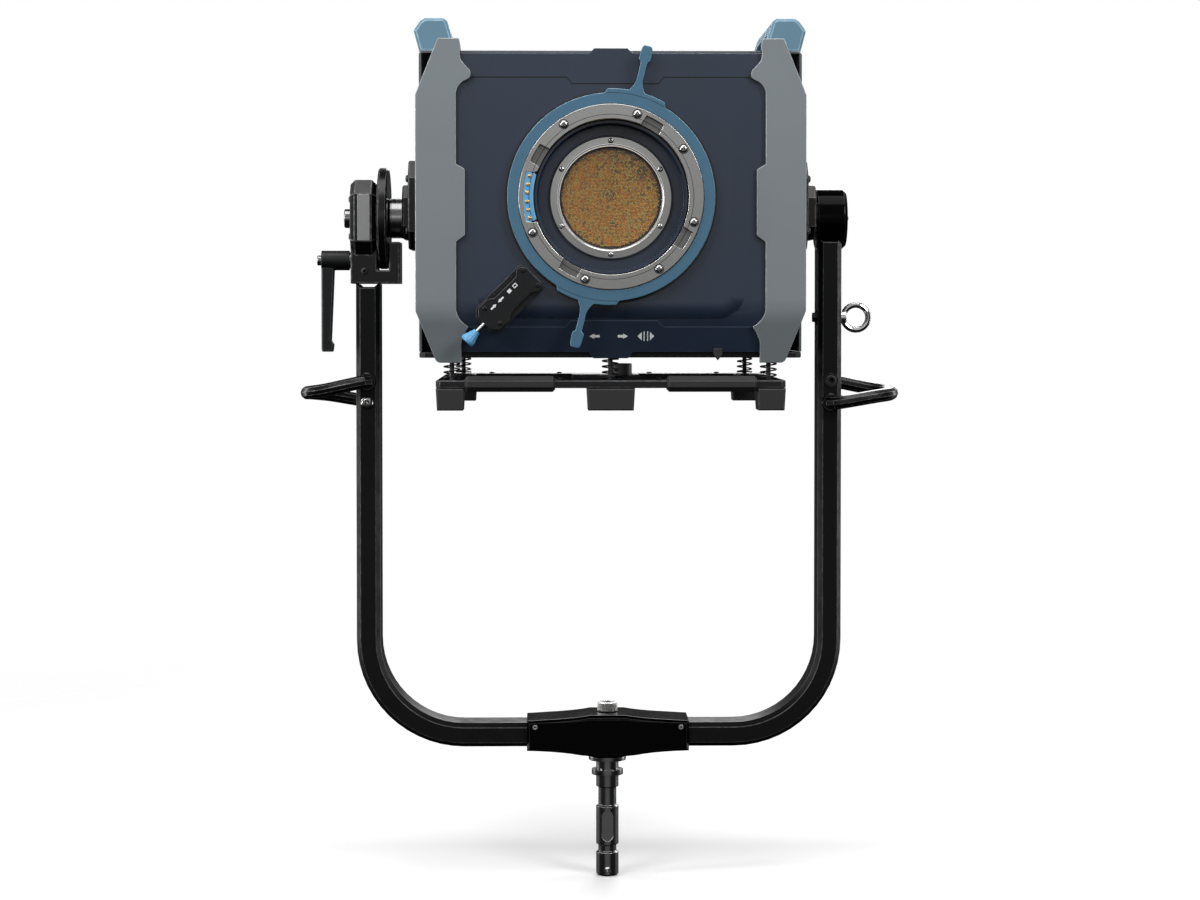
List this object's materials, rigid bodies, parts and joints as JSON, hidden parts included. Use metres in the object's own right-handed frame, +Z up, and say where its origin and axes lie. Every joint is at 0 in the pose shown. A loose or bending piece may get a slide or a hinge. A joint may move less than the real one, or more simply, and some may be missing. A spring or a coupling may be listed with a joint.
{
  "type": "studio lamp head with yoke",
  "caption": "Studio lamp head that tilts in a steel yoke, with a bayonet accessory ring, carry handles and a sprung base.",
  "frame": {"origin": "on the spigot's axis, at the underside of its flange, which rests on the stand's socket", "axes": "+Z up along the spigot's axis, -Y the way the lamp shines at rest, +X to the right of someone who faces its front"},
  "size_m": [0.759, 0.4335, 1.0745],
  "materials": {
    "black_powder_coat": "fine textured black powder coat",
    "gloss_black": "glossy black enamel",
    "bright_steel": "turned and brushed steel",
    "chrome_plate": "polished chrome plate",
    "friction_lining": "dull friction lining",
    "grey_paint": "satin blue-grey paint",
    "navy_paint": "fine textured dark navy paint",
    "handle_blue": "matte pale blue paint",
    "ring_blue": "satin blue anodised metal",
    "sky_blue": "light blue moulded plastic",
    "black_plastic": "satin black moulded plastic",
    "black_metal": "satin black paint on steel",
    "black_rubber": "dull black rubber",
    "amber_led": "amber phosphor array",
    "clear_glass": "clear heat-proof glass",
    "bare_aluminium": "bare extruded aluminium"
  },
  "bodies": {
    "yoke": {"yoke_tube": "black_powder_coat", "spigot_block": "gloss_black", "spigot": "bright_steel", "spigot_top_bolt": "bright_steel", "side_handle_left": "black_powder_coat", "side_handle_right": "black_powder_coat", "eye_bolt": "chrome_plate", "tilt_clamp_body": "black_powder_coat", "tilt_cap": "black_powder_coat", "brake_pad": "friction_lining"},
    "clamp_screw": {"clamp_screw": "bright_steel"},
    "clamp_handle": {"clamp_handle": "black_plastic"},
    "lamp_head": {"tilt_disc": "black_powder_coat", "tilt_axle_left": "bright_steel", "tilt_end_bolt": "bright_steel", "tilt_axle_right": "bright_steel", "side_bracket_left": "black_powder_coat", "side_bracket_right": "black_powder_coat", "housing_shell": "grey_paint", "bottom_pan": "black_plastic", "front_panel": "navy_paint", "front_guard_left": "grey_paint", "front_guard_right": "grey_paint", "rear_guard_left": "grey_paint", "rear_guard_right": "grey_paint", "rear_panel": "navy_paint", "carry_handle_left": "handle_blue", "carry_handle_right": "handle_blue", "led_module": "amber_led", "heat_sink": "bare_aluminium", "fan_frame": "black_plastic", "power_inlet": "black_plastic", "mount_cup": "navy_paint", "bayonet_ring": "bright_steel", "contact_block": "sky_blue", "lens_bezel": "bright_steel", "lens_window": "clear_glass", "latch_housing": "black_plastic", "base_bolt_front_left": "black_metal", "base_bolt_front_right": "black_metal", "base_bolt_front_centre": "black_metal", "base_bolt_rear_left": "black_metal", "base_bolt_rear_right": "black_metal", "base_spring_front_left": "black_metal", "base_spring_front_right": "black_metal", "base_spring_front_centre": "black_metal", "base_spring_rear_left": "black_metal", "base_spring_rear_right": "black_metal"},
    "locking_ring": {"locking_ring": "ring_blue"},
    "latch_plunger": {"latch_plunger": "sky_blue"},
    "sprung_base": {"base_plate": "black_metal", "base_grip_left": "black_rubber", "base_grip_right": "black_rubber", "base_foot_front_left": "black_rubber", "base_foot_front_right": "black_rubber", "base_foot_front_centre": "black_rubber", "base_foot_rear_left": "black_rubber", "base_foot_rear_right": "black_rubber"},
    "fan_rotor_left": {"fan_rotor_left": "black_plastic"},
    "fan_rotor_right": {"fan_rotor_right": "black_plastic"}
  },
  "joints": [
    {"name": "head_tilt", "type": "hinge", "parent": "yoke", "child": "lamp_head", "pos_m": [0, 0, 0.707], "axis": [1, 0, 0], "range_deg": [-90, 90]},
    {"name": "clamp_turn", "type": "hinge", "parent": "yoke", "child": "clamp_screw", "pos_m": [-0.34, 0, 0.654], "axis": [-1, 0, 0], "range_deg": [0, 120]},
    {"name": "clamp_handle_lift", "type": "slide", "parent": "clamp_screw", "child": "clamp_handle", "axis": [-1, 0, 0], "range_m": [0, 0.004], "stiffness_N_per_m": 2500, "springref_m": -0.002},
    {"name": "ring_turn", "type": "hinge", "parent": "lamp_head", "child": "locking_ring", "pos_m": [0, -0.2, 0.7263], "axis": [0, -1, 0], "range_deg": [0, 26]},
    {"name": "latch_pull", "type": "slide", "parent": "lamp_head", "child": "latch_plunger", "axis": [-0.7071, 0, -0.7071], "range_m": [0, 0.008], "stiffness_N_per_m": 900, "springref_m": -0.003},
    {"name": "base_travel", "type": "slide", "parent": "lamp_head", "child": "sprung_base", "axis": [0, 0, 1], "range_m": [0, 0.01], "stiffness_N_per_m": 20000, "springref_m": -0.002, "deforming": ["base_spring_front_left", "base_spring_front_right", "base_spring_front_centre", "base_spring_rear_left", "base_spring_rear_right"]},
    {"name": "fan_spin_left", "type": "hinge", "parent": "lamp_head", "child": "fan_rotor_left", "pos_m": [-0.062, 0.16, 0.7263], "axis": [0, 1, 0], "continuous": true},
    {"name": "fan_spin_right", "type": "hinge", "parent": "lamp_head", "child": "fan_rotor_right", "pos_m": [0.062, 0.16, 0.7263], "axis": [0, 1, 0], "continuous": true}
  ]
}
